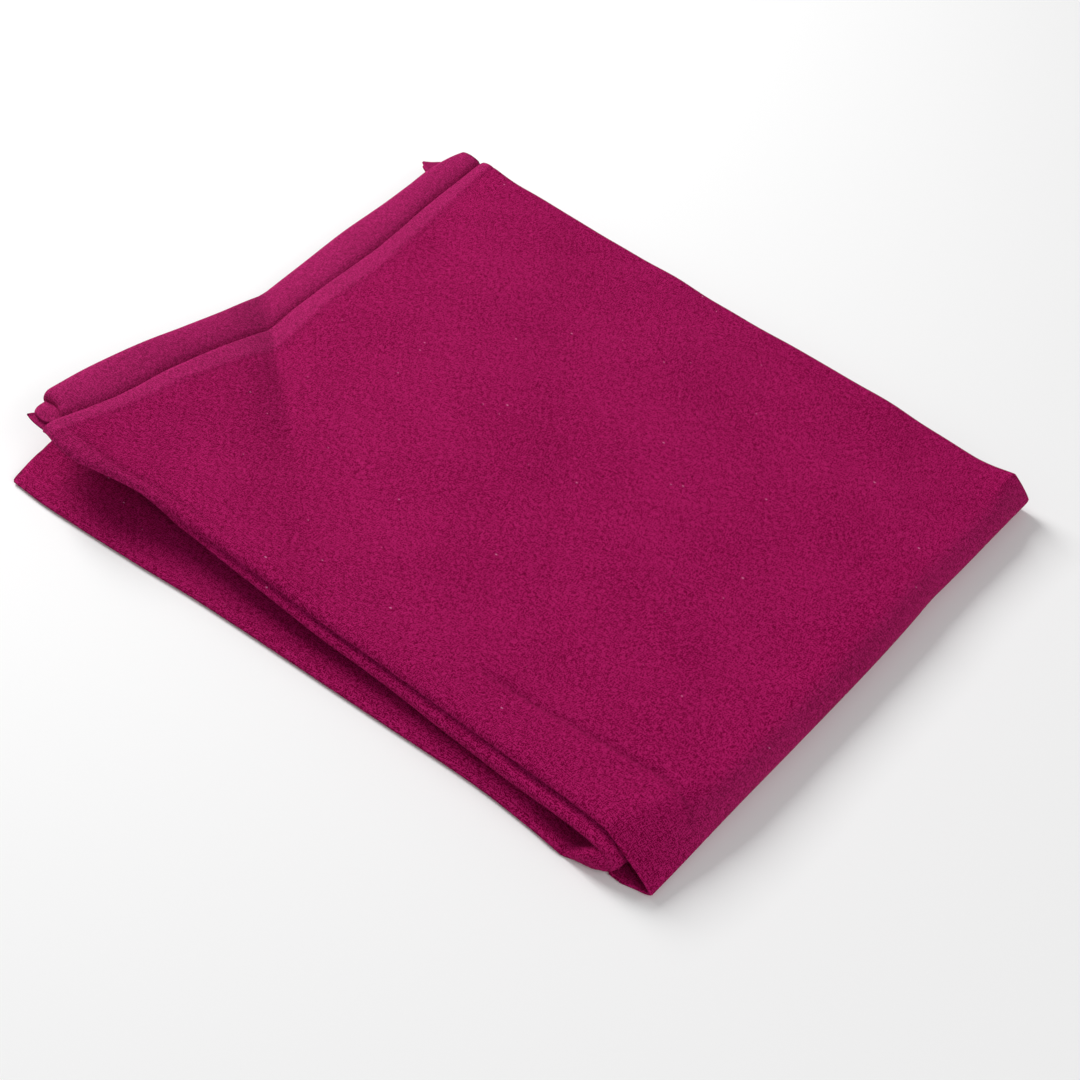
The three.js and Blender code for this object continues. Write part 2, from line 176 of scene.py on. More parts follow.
# Where each layer ends, in rows of (place, edge). The far-left edges and the spine give x by the place
# along y, and the near and far edges give y by the place along x.
edges = {
    "coverFarLeft": [
        (-6, 7.5), (2, 8.2), (8, 9.6), (19, 12.4), (33, 15), (62, 16.4), (88, 18.6), (112, 21), (133, 19.2),
        (155, 19.2), (180, 19.8), (200, 18.8), (227, 15.9), (246, 14.7), (270, 13.6),
    ],
    "bandInner": [
        (-6, 14), (9, 17.6), (22, 21), (41, 24.2), (58, 25.6), (77, 28.3), (93, 31), (106, 33.2), (125, 31.6),
        (143, 30), (165, 30.4), (184, 30), (214, 26.6), (248, 22), (270, 19.5),
    ],
    "coverNear": [
        (0, -0.5), (9, -1.2), (18, -3.2), (29, -3.2), (36, -1.2), (42, 0.6), (49, 2.4), (58, 3.7), (75, 4.6),
        (117, 5.2), (147, 5.2), (170, 5.2), (230, 4.6), (280, 3.5), (300, 1.2), (312, 0),
    ],
    "coverUnderNear": [
        (0, 14), (250, 14), (280, 10), (288, 5), (294, -0.5), (298, -2), (302, -1), (306, 0), (312, 1),
    ],
    "coverFar": [
        (-8, 268), (4, 268), (12, 267.6), (25, 266.2), (46, 265.8), (88, 265.1), (130, 264.3), (169, 263.9),
        (207, 264), (244, 263.6), (281, 261.8), (296, 261.4), (317, 262.5),
    ],
    "leafNear": [
        (-8, 11.5), (4, 11), (10, 8), (16, 4.5), (60, 5), (84, 4), (99, 3.2), (114, 2.8), (131, 2.4),
        (151, 2.1), (171, 2.1), (191, 1.8), (210, 1), (230, 0.5), (250, -0.4), (300, -2.5),
    ],
    "flapNear": [
        (0, -14.2), (18, -14.6), (66, -12), (101, -9.3), (191, -6), (235, -4.6), (262, -5.8), (275, -7),
        (285, -6.2), (294, -4.6), (300, -2),
    ],
    "leafFarLeft": [
        (-15, -3), (2, -4), (10, -6), (22, -5.9), (31, -5.5), (41, -4.6), (61, -2.3), (81, 0.6), (103, 2.2),
        (125, 1.4), (142, 0.3), (156, -0.2), (183, -0.8), (209, -0.1), (231, -0.7), (245, -1.7), (259, -0.8),
        (268, 1),
    ],
    "flapFarLeft": [(-15, 2), (3, -2), (12, -1.6), (60, 0), (270, 2)],
    "coreFarLeft": [
        (-2, 0), (12, 0), (30, 1), (110, 5), (225, 5), (238, 3), (245, 0), (248, -3.5), (251.5, -9),
        (254, -6), (257, -3.2), (260.5, 0), (270, 5),
    ],
    "spine": [
        (-5, 311.6), (0, 312.2), (30, 313.2), (73, 314.7), (97, 315.4), (121, 316), (146, 316.4),
        (170, 316.3), (188, 315.9), (200, 316.4), (218, 317), (243, 317.6), (262, 318.2), (270, 318.5),
    ],
}


def edgeAt(name, place):
    return readTable(edges[name], place)


def slackAt(y):
    # 1 where the spine is slack at the near side, 0 where it is a full round fold.
    return 1 - ease(y / stack["slackReach"])


def noseCurve(turn, start, tip, top, tipHeight, bottom, radius, power):
    # The spine's fold in the xz plane. turn goes from 1 at the top through 0 at the tip to -1 underneath.
    # Above the tip it is a quarter of an ellipse raised to a power, below it a quarter of a plain ellipse.
    angle = turn * np.pi / 2
    along = np.clip(np.cos(angle), 0, 1)
    over = np.clip(np.sin(np.abs(angle)), 0, 1)
    above = (start + (tip - start) * along**power, tipHeight + (top - tipHeight) * over**power)
    below = (tip - radius + radius * along, tipHeight - (tipHeight - bottom) * over)
    return np.where(turn >= 0, above[0], below[0]), np.where(turn >= 0, above[1], below[1])


# How the rows and columns of a layer are spaced.
spacing = {
    "upperPull": 0.12,
    "lowerPower": 1.5,
    "farPull": 0.075,
    "farPower": 1.3,
}


def wrapRows(upperCount, noseCount, lowerCount):
    # Rows of a wrapped layer: kind 0 lies on the upper leaf, kind 1 on the spine's nose, kind 2 on the lower
    # leaf. A sine pulls the upper rows together at both ends, and a power pulls the lower ones to the spine.
    even = np.arange(upperCount + 1) / upperCount
    upper = even - spacing["upperPull"] * np.sin(2 * np.pi * even)
    nose = 1 - 2 * np.arange(1, noseCount) / noseCount
    lower = (np.arange(lowerCount + 1) / lowerCount) ** spacing["lowerPower"]
    kind = np.concatenate([0 * upper, 0 * nose + 1, 0 * lower + 2])
    return kind[:, None], np.concatenate([upper, nose, lower])[:, None]


def acrossShares(count, power, farCount):
    # Shares of the way from the near side to the far side, close together at both edges.
    near = (np.arange(count + 1) / count) ** power
    far = 1 - spacing["farPull"] * (np.arange(1, farCount) / farCount) ** spacing["farPower"]
    return np.unique(np.concatenate([near, far]))[None, :]


# The cover. A roll is its width and its drop.
cover = {
    "wall": 1.5,
    "noseStart": [
        (-5, 286), (10, 289), (30, 296), (60, 303), (200, 305.5), (240, 307), (262, 309), (270, 310),
    ],
    "tipHeight": [(-5, 2.4), (20, 3.2), (60, 6), (200, 7), (270, 7)],
    "turn": 5.0,
    "slackPower": 1.5,
    "flatPower": 0.8,  # the far corner of the spine is cut off flat
    "flatFrom": (240, 18),
    "underStart": 3.0,
    "bandDrop": 1.3,  # the far-left strip slopes down this far
    "bandPower": 1.12,
    "farLeftRoll": (4.0, 0.8),
    "nearRoll": (7.0, 2.3),
    "farRoll": (4.0, 1.3),
    "farLeftCorner": 0.25,  # the share of the far roll that is left at the far-left corner
    "farRollFrom": (8, 40),
    "rows": (150, 30, 26),  # on the upper leaf, on the nose and on the lower leaf
    "columns": (150, 1.3, 12),  # from near to far, the power that spaces them, and more at the far side
    "softNear": (0.01, 0.03),  # shares of the width: one soft round up to the first, faded over the second
    "plyLook": {"plies": 3, "seed": 4, "stand": 0.6, "wander": 0.35, "groove": 0.5},
}


def bandSlope(x, y):
    # The strip between the cover's far-left edge and its inner line slopes down to the edge: the share of
    # the way to the edge, raised to a power.
    start = edgeAt("coverFarLeft", y)
    t = np.clip((x - start) / (edgeAt("bandInner", y) - start), 0, 1)
    return cover["bandDrop"] * (1 - t) ** cover["bandPower"]


def farRollAt(x, distance):
    # The roll of the far side, which is sharper at the far-left corner.
    share = mix(cover["farLeftCorner"], 1, rises(x, *cover["farRollFrom"]))
    return rolled(distance, *cover["farRoll"]) * share


def coverTop(x, y):
    # The stack's top, less the strip's slope and the rolled edges.
    fromFarLeft = x - edgeAt("coverFarLeft", y)
    fromNear = y - edgeAt("coverNear", x)
    fromFar = edgeAt("coverFar", x) - y
    rolls = rolled(fromFarLeft, *cover["farLeftRoll"]) + rolled(fromNear, *cover["nearRoll"])
    return stackTop(x, y) - bandSlope(x, y) - rolls - farRollAt(x, fromFar)


def coverFace(kind, value, y, depth):
    # One face of the cover, as x and z: depth 0 is its outside and depth 1 its inside.
    wall = cover["wall"] * depth
    start = readTable(cover["noseStart"], y)
    tip = edgeAt("spine", y)
    upperX = mix(edgeAt("coverFarLeft", y), start, value)
    lowerX = mix(tip - cover["turn"], cover["underStart"], value)
    power = mix(1, cover["slackPower"], slackAt(y)) + cover["flatPower"] * rises(y, *cover["flatFrom"])
    top = coverTop(start, y) - wall
    tipHeight = readTable(cover["tipHeight"], y)
    noseX, noseZ = noseCurve(value, start, tip - wall, top, tipHeight, wall, cover["turn"] - wall, power)
    x = np.select([kind == 0, kind == 2], [upperX, lowerX], noseX)
    z = np.select([kind == 0, kind == 2], [coverTop(upperX, y) - wall, wall + 0 * y], noseZ)
    return x, z


def nearLine(kind, value, x, upperName, lowerName):
    # The near side is eased from the upper leaf's line to the lower leaf's line as the layer turns round the
    # spine.
    turned = np.select([kind == 0, kind == 2], [1.0 + 0 * x, 0 * x], ease((value + 1) / 2))
    return mix(edgeAt(lowerName, x), edgeAt(upperName, x), turned)


def coverGrid(rows, shares, depth):
    # A face of the cover on the grid: y is mixed from the near line to the far line, x and z follow from it.
    kind, value = rows
    roughX, _ = coverFace(kind, value, shares * stack["width"], depth)
    near = nearLine(kind, value, roughX, "coverNear", "coverUnderNear")
    y = mix(near, edgeAt("coverFar", roughX), shares)
    x, z = coverFace(kind, value, y, depth)
    return np.stack([x, y, z], -1)


# The bundle inside the cover: the middle leaf and the core.
bundle = {
    "gap": 0.95,
    "upperMost": [
        (0, 7), (60, 5), (84, 3.7), (114, 3.9), (151, 4.7), (191, 5.6), (230, 6.6), (245, 6.6), (266, 5),
        (279, 4.8), (288, 8), (316, 8),
    ],
    "openingLeast": 0.6,
    "lowerThickness": [
        (0, 3), (60, 3.2), (130, 3.6), (180, 4.8), (252, 5.6), (264, 2.6), (279, 2.2), (287, 8.4), (296, 8),
        (316, 5),
    ],
    "flapThickness": [
        (0, 2.6), (262, 2.8), (270, 3.4), (274.5, 3), (277.5, 1.3), (281, 4.4), (285, 8), (289, 9.4),
        (292, 8), (295, 4.6), (300, 3),
    ],
    "flapInside": 1.6,  # the flap reaches its inner thickness this many times its own reach from its edge
    "underStep": (2.5, 7.0),  # it comes down to the ground this far past the cover's edge, over this width
    "noseStart": [(-12, 279), (0, 279), (12, 281), (60, 290), (270, 292)],
    "tip": [(-12, 298), (-3, 298.6), (4, 299), (20, 302), (60, 308), (270, 308)],
    "tipShare": [(-12, 0.6), (6, 0.58), (40, 0.42), (270, 0.42)],
    "turn": 5.0,
    "innerTurn": [(-12, -3), (6, -2.4), (40, 1), (270, 1)],
    "slackPower": 0.7,
    "nearRoll": (6.0, 3.6),
    "grooveRise": (1.5, 0.5, 1.7),  # height, distance past the cover's edge and width
    "ridgeHeight": 1.2,  # the strip past the cover stands up this far from the groove beside it
    "ridgeRise": 0.55,
    "ridgeTilt": 0.3,
    "outerRoll": (5.0, 1.8),
    "reach": 3.1,
    "farInset": 3.0,
    "farInsetFrom": (17, 12),
    "farGap": 0.3,
    "wrinkle": 0.35,
    "wrinkleWaves": [(1, 41, 0.8, 0), (0.6, 67, -0.5, 1.3)],  # height, waves round the nose, slant, phase
    "wrinkleReach": 9.0,
}


def lowerLeaf(x, y):
    # The lower leaf's underside and top: on the cover, and down on the ground past the cover's edge.
    clear, width = bundle["underStep"]
    pastEdge = edgeAt("coverUnderNear", x) - y - clear
    base = (cover["wall"] + bundle["gap"]) * (1 - ease(pastEdge / width))
    reach = -edgeAt("flapNear", x)
    inside = ease((y + reach) / (bundle["flapInside"] * reach))
    thick = mix(readTable(bundle["flapThickness"], x), readTable(bundle["lowerThickness"], x), inside)
    return base, base + thick


def upperLeaf(x, y):
    # The upper leaf's top, under the cover and over the ridge outside it, and its lower side.
    fromCover = x - edgeAt("coverFarLeft", y)
    nearDrop = rolled(y - edgeAt("coverNear", x), *bundle["nearRoll"])
    rise, begin, width = bundle["grooveRise"]
    edgeDrop = rolled(np.abs(fromCover), *cover["farLeftRoll"]) - rise * rises(-fromCover, begin, width)
    farDrop = farRollAt(x, edgeAt("coverFar", x) - y)
    outline = edgeAt("leafFarLeft", y)
    t = np.clip((x - outline) / (edgeAt("coverFarLeft", y) - outline), 0, 1)
    crest = bundle["ridgeHeight"] * ease((1 - t) / bundle["ridgeRise"]) - bundle["ridgeTilt"] * (1 - t)
    outerDrop = rolled(x - outline, *bundle["outerRoll"])
    top = stackTop(x, y) - cover["wall"] - bundle["gap"] - bandSlope(x, y)
    top = top - nearDrop - edgeDrop - farDrop + crest - outerDrop
    most = readTable(bundle["upperMost"], x)
    low = np.maximum(top - most, lowerLeaf(x, y)[1] + bundle["openingLeast"])
    return top, low


def bundleFace(kind, value, y, share, farLeftName):
    # A face inside the bundle at a share of its thickness, 0 on its outside and 1 on its inside. Near the
    # near side its nose has small wrinkles, which are sine waves round the nose.
    start = readTable(bundle["noseStart"], y)
    turnEnd = readTable(bundle["tip"], y) - bundle["turn"]
    upperX = mix(edgeAt(farLeftName, y), start, value)
    lowerX = mix(turnEnd, edgeAt("flapFarLeft", y), value)
    top, low = upperLeaf(upperX, y)
    base, over = lowerLeaf(lowerX, y)
    startTop, startLow = upperLeaf(start, y)
    endBase, endOver = lowerLeaf(turnEnd, y)
    radius = mix(bundle["turn"], readTable(bundle["innerTurn"], y), share)
    tipShare = readTable(bundle["tipShare"], y)
    tipHeight = mix(mix(endBase, startTop, tipShare), (startLow + endOver) / 2, share)
    power = mix(1.0, bundle["slackPower"], share * slackAt(y))
    noseTop = mix(startTop, startLow, share)
    noseEnd = mix(endBase, endOver, share)
    noseX, noseZ = noseCurve(value, start, turnEnd + radius, noseTop, tipHeight, noseEnd, radius, power)
    ripple = bundle["wrinkle"] * sum(
        height * np.sin(around * value + slant * y + phase)
        for height, around, slant, phase in bundle["wrinkleWaves"]
    )
    noseX = noseX + ripple * bell(y, bundle["wrinkleReach"]) * np.cos(value * np.pi / 2)
    x = np.select([kind == 0, kind == 2], [upperX, lowerX], noseX)
    z = np.select([kind == 0, kind == 2], [mix(top, low, share), mix(base, over, share)], noseZ)
    return x, z


def bundleGrid(rows, shares, depth, reach, inset, farLeftName):
    # A face of the bundle on the grid, worked out as the cover's is. reach is how far a point goes past the
    # wall's near end as the leaf folds under itself.
    kind, value = rows
    roughX, _ = bundleFace(kind, value, shares * stack["width"], depth, farLeftName)
    near = nearLine(kind, value, roughX, "leafNear", "flapNear") + bundle["reach"]
    farInset = bundle["farInset"] * rises(roughX, *bundle["farInsetFrom"])
    far = edgeAt("coverFar", roughX) - farInset - bundle["farGap"]
    y = mix(near, far, shares) - reach * (bundle["reach"] - inset)
    x, z = bundleFace(kind, value, y, depth, farLeftName)
    return np.stack([x, y, z], -1)


# Where the cloth is pressed smooth and gets a painted sheen that makes it paler, 1 being smoothest.
pressingSheen = {
    "stripPast": 1.5,
    "stripFade": 4,
    "stripHeightFrom": (8, 4),
    "marginStrength": 0.5,
    "marginFade": 2.5,
    "marginTo": (90, 50),
    "marginHeightFrom": (14, 4),
    "slopeStrength": 0.6,
    "slopeFrom": (-11, 7),  # measured from the spine's line
    "slopeNearFrom": (5, 40),
}


def pressedSheenAt(x, y, z):
    # How pressed each point is and how much painted sheen it gets: the most of three: the two far-left
    # strips, the near margin by the raised corner, and the spine's slope.
    strips = falls(x, edgeAt("bandInner", y) + pressingSheen["stripPast"], pressingSheen["stripFade"])
    strips = strips * rises(z, *pressingSheen["stripHeightFrom"])
    margin = pressingSheen["marginStrength"] * falls(y, readTable(stack["pressLine"], x), pressingSheen["marginFade"])
    margin = margin * falls(x, *pressingSheen["marginTo"]) * rises(z, *pressingSheen["marginHeightFrom"])
    slope = pressingSheen["slopeStrength"] * rises(x - edgeAt("spine", y), *pressingSheen["slopeFrom"])
    slope = slope * rises(y, *pressingSheen["slopeNearFrom"])
    return np.maximum(np.maximum(strips, margin), slope)


# Painted shade: where lines pressed into the top are painted darker, as shade would fall in them. A shift
# moves a line's painted shade beside the line.
shadePaint = {
    "dentShift": 0.3,
    "dentWidth": 1.1,
    "marginStrength": 0.9,
    "marginWidth": 1.2,
    "innerStrength": 0.5,
    "innerShift": 1.5,
    "innerWidth": 1.8,
    "grooveStrength": 0.45,
    "grooveShift": -2.6,
    "grooveWidth": 2.4,
    "grooveFrom": (6, 10),
    "creaseEdge": 1,
    "creaseWidth": 14.0,
    "creaseFade": 2.5,
    "creaseTo": (100, 60),
    "heightFrom": (9, 4),
}


def paintedShadeAt(x, y, z):
    # How much painted shade darkens each point: the most of five lines, each a bell curve across it: the
    # dent, the margin's line, the strip's inner line, the groove by the ridge and the diagonal crease.
    dent = bell(y - readTable(stack["dent"], x) - shadePaint["dentShift"], shadePaint["dentWidth"])
    dent = dent * rises(x, *stack["dentFrom"])
    margin = shadePaint["marginStrength"] * bell(y - readTable(stack["pressLine"], x), shadePaint["marginWidth"])
    margin = margin * rises(x, *stack["pressFrom"]) * falls(x, *stack["pressTo"])
    inner = bell(x - edgeAt("bandInner", y) - shadePaint["innerShift"], shadePaint["innerWidth"])
    inner = shadePaint["innerStrength"] * inner
    groove = bell(x - edgeAt("coverFarLeft", y) - shadePaint["grooveShift"], shadePaint["grooveWidth"])
    groove = shadePaint["grooveStrength"] * groove * rises(y, *shadePaint["grooveFrom"])
    side = fromCrease(x, y)
    crease = bell(np.minimum(side + shadePaint["creaseEdge"], 0), shadePaint["creaseWidth"])
    crease = crease * falls(side, shadePaint["creaseEdge"], shadePaint["creaseFade"])
    crease = crease * falls(x, *shadePaint["creaseTo"])
    marks = np.maximum(np.maximum(dent, margin), np.maximum(inner, groove))
    return np.maximum(marks, crease) * rises(z, *shadePaint["heightFrom"])


def runningLength(points, axis):
    # Length along a line of points, from its first one.
    step = np.linalg.norm(np.diff(points, axis=axis), axis=-1)
    start = np.zeros_like(np.take(step, [0], axis))
    return np.concatenate([start, np.cumsum(step, axis)], axis)


def unit(vectors):
    # Each vector over its own length.
    return vectors / np.maximum(np.linalg.norm(vectors, axis=-1, keepdims=True), 1e-9)


def flat(grid):
    # A grid's points in one list, row after row.
    return grid.reshape(-1, grid.shape[-1])


def closedRound(band):
    # The band with its first column once more at its end.
    return np.concatenate([band, band[:, :1]], axis=1)


# The order of a face's corners, for the outer grid and for the inner one, so that both face out of the sheet.
turnedOut = ((0, 0), (1, 0), (1, 1), (0, 1))
turnedIn = ((0, 0), (0, 1), (1, 1), (1, 0))


def faceCorners(grid, order):
    # The four corners of each of a grid's faces, in an order given as steps along its rows and columns.
    down = grid.shape[0] - 1
    right = grid.shape[1] - 1
    return np.stack([grid[row : row + down, column : column + right] for row, column in order], 2)


# What the ply edges of all the layers have in common. A layer's own plyLook is how many plies it shows, the
# seed of its random draws, and how far they stand out, how far they wander and how deep the grooves are.
plyEdge = {
    "steps": 6,  # faces across one ply
    "standBack": 0.35,
    "waveCounts": (5, 11, 19),  # waves once round the borders
    "waveFade": 0.7,
}


def plyBand(outerLoop, innerLoop, outward, roundLoop, look):
    # The band between two loops: across it each ply is a half round, with a groove between it and the next
    # one, and along it each ply stands out by slow waves of its own. Where roundLoop is 1, the band is one
    # half round over all its plies.
    plies = look["plies"]
    knee = -np.cos(np.pi * np.arange(plyEdge["steps"] + 1) / plyEdge["steps"])[:-1]
    share = ((np.arange(plies)[:, None] + (knee[None] + 1) / 2).ravel() / plies)[1:]
    shape = np.sqrt(1 - np.tile(knee, plies) ** 2)[1:, None]
    plyOf = np.minimum((share * plies).astype(int), plies - 1)
    middleLoop = (outerLoop + innerLoop) / 2
    walk = np.linalg.norm(np.roll(middleLoop, -1, 0) - middleLoop, axis=-1)
    distance = np.concatenate([[0], np.cumsum(walk)[:-1]])[None]
    dice = np.random.default_rng(look["seed"])
    stand = look["stand"] * (dice.random((plies, 1)) - plyEdge["standBack"])
    for count in plyEdge["waveCounts"]:
        phase = dice.random((plies, 1)) * 2 * np.pi
        fade = (plyEdge["waveCounts"][0] / count) ** plyEdge["waveFade"]
        size = look["wander"] * dice.random((plies, 1)) * fade
        stand = stand + size * np.sin(2 * np.pi * count * distance / walk.sum() + phase)
    thickness = np.linalg.norm(outerLoop - innerLoop, axis=-1)[None]
    outerHalf = (share < 0.5 / plies) | (share > 1 - 0.5 / plies)  # no groove beyond the first and last ply
    groove = look["groove"] * np.where(outerHalf, 0.0, 1.0)[:, None]
    plyBulge = shape * (thickness / (2 * plies) + stand[plyOf]) - (1 - shape) * groove
    wholeRound = np.sqrt(np.clip(1 - (2 * share - 1) ** 2, 0, 1))[:, None] * thickness * 0.5
    bulge = mix(plyBulge, wholeRound, roundLoop)
    band = mix(outerLoop[None], innerLoop[None], share[:, None, None]) + outward[None] * bulge[..., None]
    return band, np.concatenate([[0], share, [1]])


def putInMesh(name, vertices, faces, cornerMap):
    # A mesh in the part's frame, with the cloth's map and, at each point, how pressed it is with painted
    # sheen and how much painted crease shade it gets.
    mesh = bpy.data.meshes.new(name)
    mesh.vertices.add(len(vertices))
    mesh.vertices.foreach_set("co", ((vertices - np.array(packetMiddle)) * metres).astype(np.float32).ravel())
    mesh.loops.add(faces.size)
    mesh.loops.foreach_set("vertex_index", faces.astype(np.int32).ravel())
    mesh.polygons.add(len(faces))
    mesh.polygons.foreach_set("loop_start", (np.arange(len(faces)) * 4).astype(np.int32))
    mesh.polygons.foreach_set("use_smooth", np.ones(len(faces), bool))
    clothMap = mesh.uv_layers.new(name="clothMap")
    clothMap.data.foreach_set("uv", cornerMap.astype(np.float32).ravel())
    for key, measure in (("pressedSheen", pressedSheenAt), ("paintedCreaseShade", paintedShadeAt)):
        layer = mesh.attributes.new(key, "FLOAT", "POINT")
        layer.data.foreach_set("value", measure(*vertices.T).astype(np.float32))
    mesh.update(calc_edges=True)
    mesh.validate()
    piece = bpy.data.objects.new(name, mesh)
    bpy.context.scene.collection.objects.link(piece)
    print(name, len(faces) * 2, "triangles")
    return piece


def closedSheet(name, outer, inner, look, roundness):
    # A closed cloth layer: two grids, and a band round their four borders that shows the edges of the plies.
    # The vertices are those of the outer grid, the inner grid and the band, in this order.
    rowCount, columnCount = outer.shape[:2]
    outerIndex = np.arange(rowCount * columnCount).reshape(rowCount, columnCount)
    innerIndex = outerIndex + outerIndex.size
    sides = [outerIndex[:-1, 0], outerIndex[-1, :-1], outerIndex[:0:-1, -1], outerIndex[0, :0:-1]]
    loop = np.concatenate(sides)
    middle = (outer + inner) / 2
    away = np.zeros_like(middle)
    away[:, 0] = unit(middle[:, 0] - middle[:, 1])
    away[:, -1] = unit(middle[:, -1] - middle[:, -2])
    away[0] += unit(middle[0] - middle[1])
    away[-1] += unit(middle[-1] - middle[-2])
    outerLoop = flat(outer)[loop]
    innerLoop = flat(inner)[loop]
    roundLoop = roundness.ravel()[loop][None]
    band, bandShare = plyBand(outerLoop, innerLoop, unit(flat(away)[loop]), roundLoop, look)
    bandIndex = np.arange(band.shape[0] * len(loop)).reshape(band.shape[0], len(loop)) + 2 * outerIndex.size
    bandIndex = closedRound(np.vstack([loop[None], bandIndex, innerIndex.ravel()[loop][None]]))
    vertices = np.vstack([flat(outer), flat(inner), flat(band)])
    # the cloth's own map, in metres: along the wrap and across it, carried on over the edges
    gridMap = np.stack([runningLength(middle, 0) * metres, runningLength(middle, 1) * metres], -1)
    sideways = np.zeros((rowCount, columnCount, 2))
    sideways[:, 0, 1] = -1
    sideways[:, -1, 1] = 1
    sideways[0, :, 0] = -1
    sideways[-1, :, 0] = 1
    thickness = np.linalg.norm(outerLoop - innerLoop, axis=-1)
    stepOut = (bandShare[:, None, None] * thickness[None, :, None] * metres) * flat(sideways)[loop][None]
    bandMap = closedRound(flat(gridMap)[loop][None] + stepOut)
    grids = (
        (outerIndex, gridMap, turnedOut),
        (innerIndex, gridMap, turnedIn),
        (bandIndex, bandMap, turnedOut),
    )
    faces = np.vstack([faceCorners(index, order).reshape(-1, 4) for index, _, order in grids])
    cornerMap = np.vstack([faceCorners(places, order).reshape(-1, 2) for _, places, order in grids])
    return putInMesh(name, vertices, faces, cornerMap)


# The cover's near side is one soft round, and its far and far-left sides show their plies.
rows = wrapRows(*cover["rows"])
shares = acrossShares(*cover["columns"])
outer = coverGrid(rows, shares, 0)
inner = coverGrid(rows, shares, 1)
nearness = np.broadcast_to(1 - rises(shares, *cover["softNear"]), outer.shape[:2])
coverPiece = closedSheet("coverCloth", outer, inner, cover["plyLook"], nearness)

# The leaf folds under itself along its near side, and the core is a plain wrap inside it.
leaf = {
    "rows": (106, 26, 110),
    "columns": (54, 1.3, 10),
    "foldSteps": 14,
    "wall": 0.26,  # as a share of the bundle's thickness
    "foldInset": 1.5,  # how far the fold's inside stays from its outside
    "plyLook": {"plies": 4, "seed": 11, "stand": 0.9, "wander": 0.5, "groove": 0.7},
}
core = {
    "columns": (76, 1.3, 22),
    "nearStart": 0.035,  # it begins this share of the width from the near side
    "outerDepth": 0.31,  # both as shares of the bundle's thickness
    "innerDepth": 0.69,
    "plyLook": {"plies": 6, "seed": 23, "stand": 1.2, "wander": 0.6, "groove": 0.8},
}


def foldedLeaf(rows, wallShares, foldSteps, wall):
    # Across the middle leaf runs from the upper wall's far side to the near fold, a half turn, and back to
    # the lower wall's far side.
    shares = wallShares[0]
    turn = np.arange(1, foldSteps) / foldSteps * np.pi
    swing = (1 - np.cos(turn)) / 2
    back = shares[::-1]
    across = np.concatenate([back, 0 * turn, shares])[None, :]
    outerDepth = np.concatenate([0 * back, swing, 0 * shares + 1])[None, :]
    innerDepth = np.concatenate([0 * back + wall, mix(wall, 1 - wall, swing), 0 * shares + 1 - wall])[None, :]
    reach = np.concatenate([0 * back, np.sin(turn), 0 * shares])[None, :]
    outside = bundleGrid(rows, across, outerDepth, reach, 0, "leafFarLeft")
    inside = bundleGrid(rows, across, innerDepth, reach, leaf["foldInset"], "leafFarLeft")
    return outside, inside


leafRows = wrapRows(*leaf["rows"])
outside, inside = foldedLeaf(leafRows, acrossShares(*leaf["columns"]), leaf["foldSteps"], leaf["wall"])
leafPiece = closedSheet("middleLeaf", inside, outside, leaf["plyLook"], np.zeros(outside.shape[:2]))

coreShares = acrossShares(*core["columns"])
coreShares = coreShares[:, coreShares[0] > core["nearStart"]]
coreOuter = bundleGrid(leafRows, coreShares, core["outerDepth"], 0, 0, "coreFarLeft")
coreInner = bundleGrid(leafRows, coreShares, core["innerDepth"], 0, 0, "coreFarLeft")
corePiece = closedSheet("coreLeaves", coreOuter, coreInner, core["plyLook"], np.zeros(coreOuter.shape[:2]))


# Two plies that stick out at the raised corner. A ripple is its height and how often it comes across and
# along the ply.
cornerPlies = {
    "roundedPly": {
        "root": (2.8, 17, 24.8), "tip": (1.8, 2.0, 26.3),
        "width": 7.4, "power": 2.6, "curl": -0.8, "thick": 1.1,
    },
    "pointedPly": {
        "root": (12, 8, 24.4), "tip": (-3.4, 0.8, 25.3),
        "width": 7.2, "power": 1.3, "curl": -0.3, "thick": 0.9,
    },
}
cornerPlyGrid = {"along": 30, "across": 25, "leastWidth": 0.0008, "ripple": (0.25, 3.0, 4.0)}
cornerPlyLook = {"plies": 2, "seed": 5, "stand": 0.1, "wander": 0.1, "groove": 0.15}


def cornerPly(look):
    # A tongue of cloth from its root to its tip. Its half width falls off as 1 less the distance to a power,
    # to one over that power, and its two sides curl by the square of the place across it.
    root = np.array(look["root"])
    tip = np.array(look["tip"])
    u = np.sin(np.linspace(0, 1, cornerPlyGrid["along"]) * np.pi / 2)[:, None]
    v = np.linspace(-1, 1, cornerPlyGrid["across"])[None, :]
    along = tip - root
    side = np.cross([0, 0, 1], along / np.linalg.norm(along))
    taper = np.maximum(1 - u ** look["power"], cornerPlyGrid["leastWidth"]) ** (1 / look["power"])
    half = look["width"] * taper
    place = root + along * u[..., None] + side * (half * v)[..., None]
    height, across, down = cornerPlyGrid["ripple"]
    place[..., 2] += look["curl"] * (v**2 * (half / look["width"])) + height * np.sin(across * v + down * u)
    under = place - np.array([0, 0, look["thick"]])
    return place, under


plyPieces = []
for plyName, plySize in cornerPlies.items():
    upper, under = cornerPly(plySize)
    plyPieces.append(closedSheet(plyName, under, upper, cornerPlyLook, np.zeros(upper.shape[:2])))
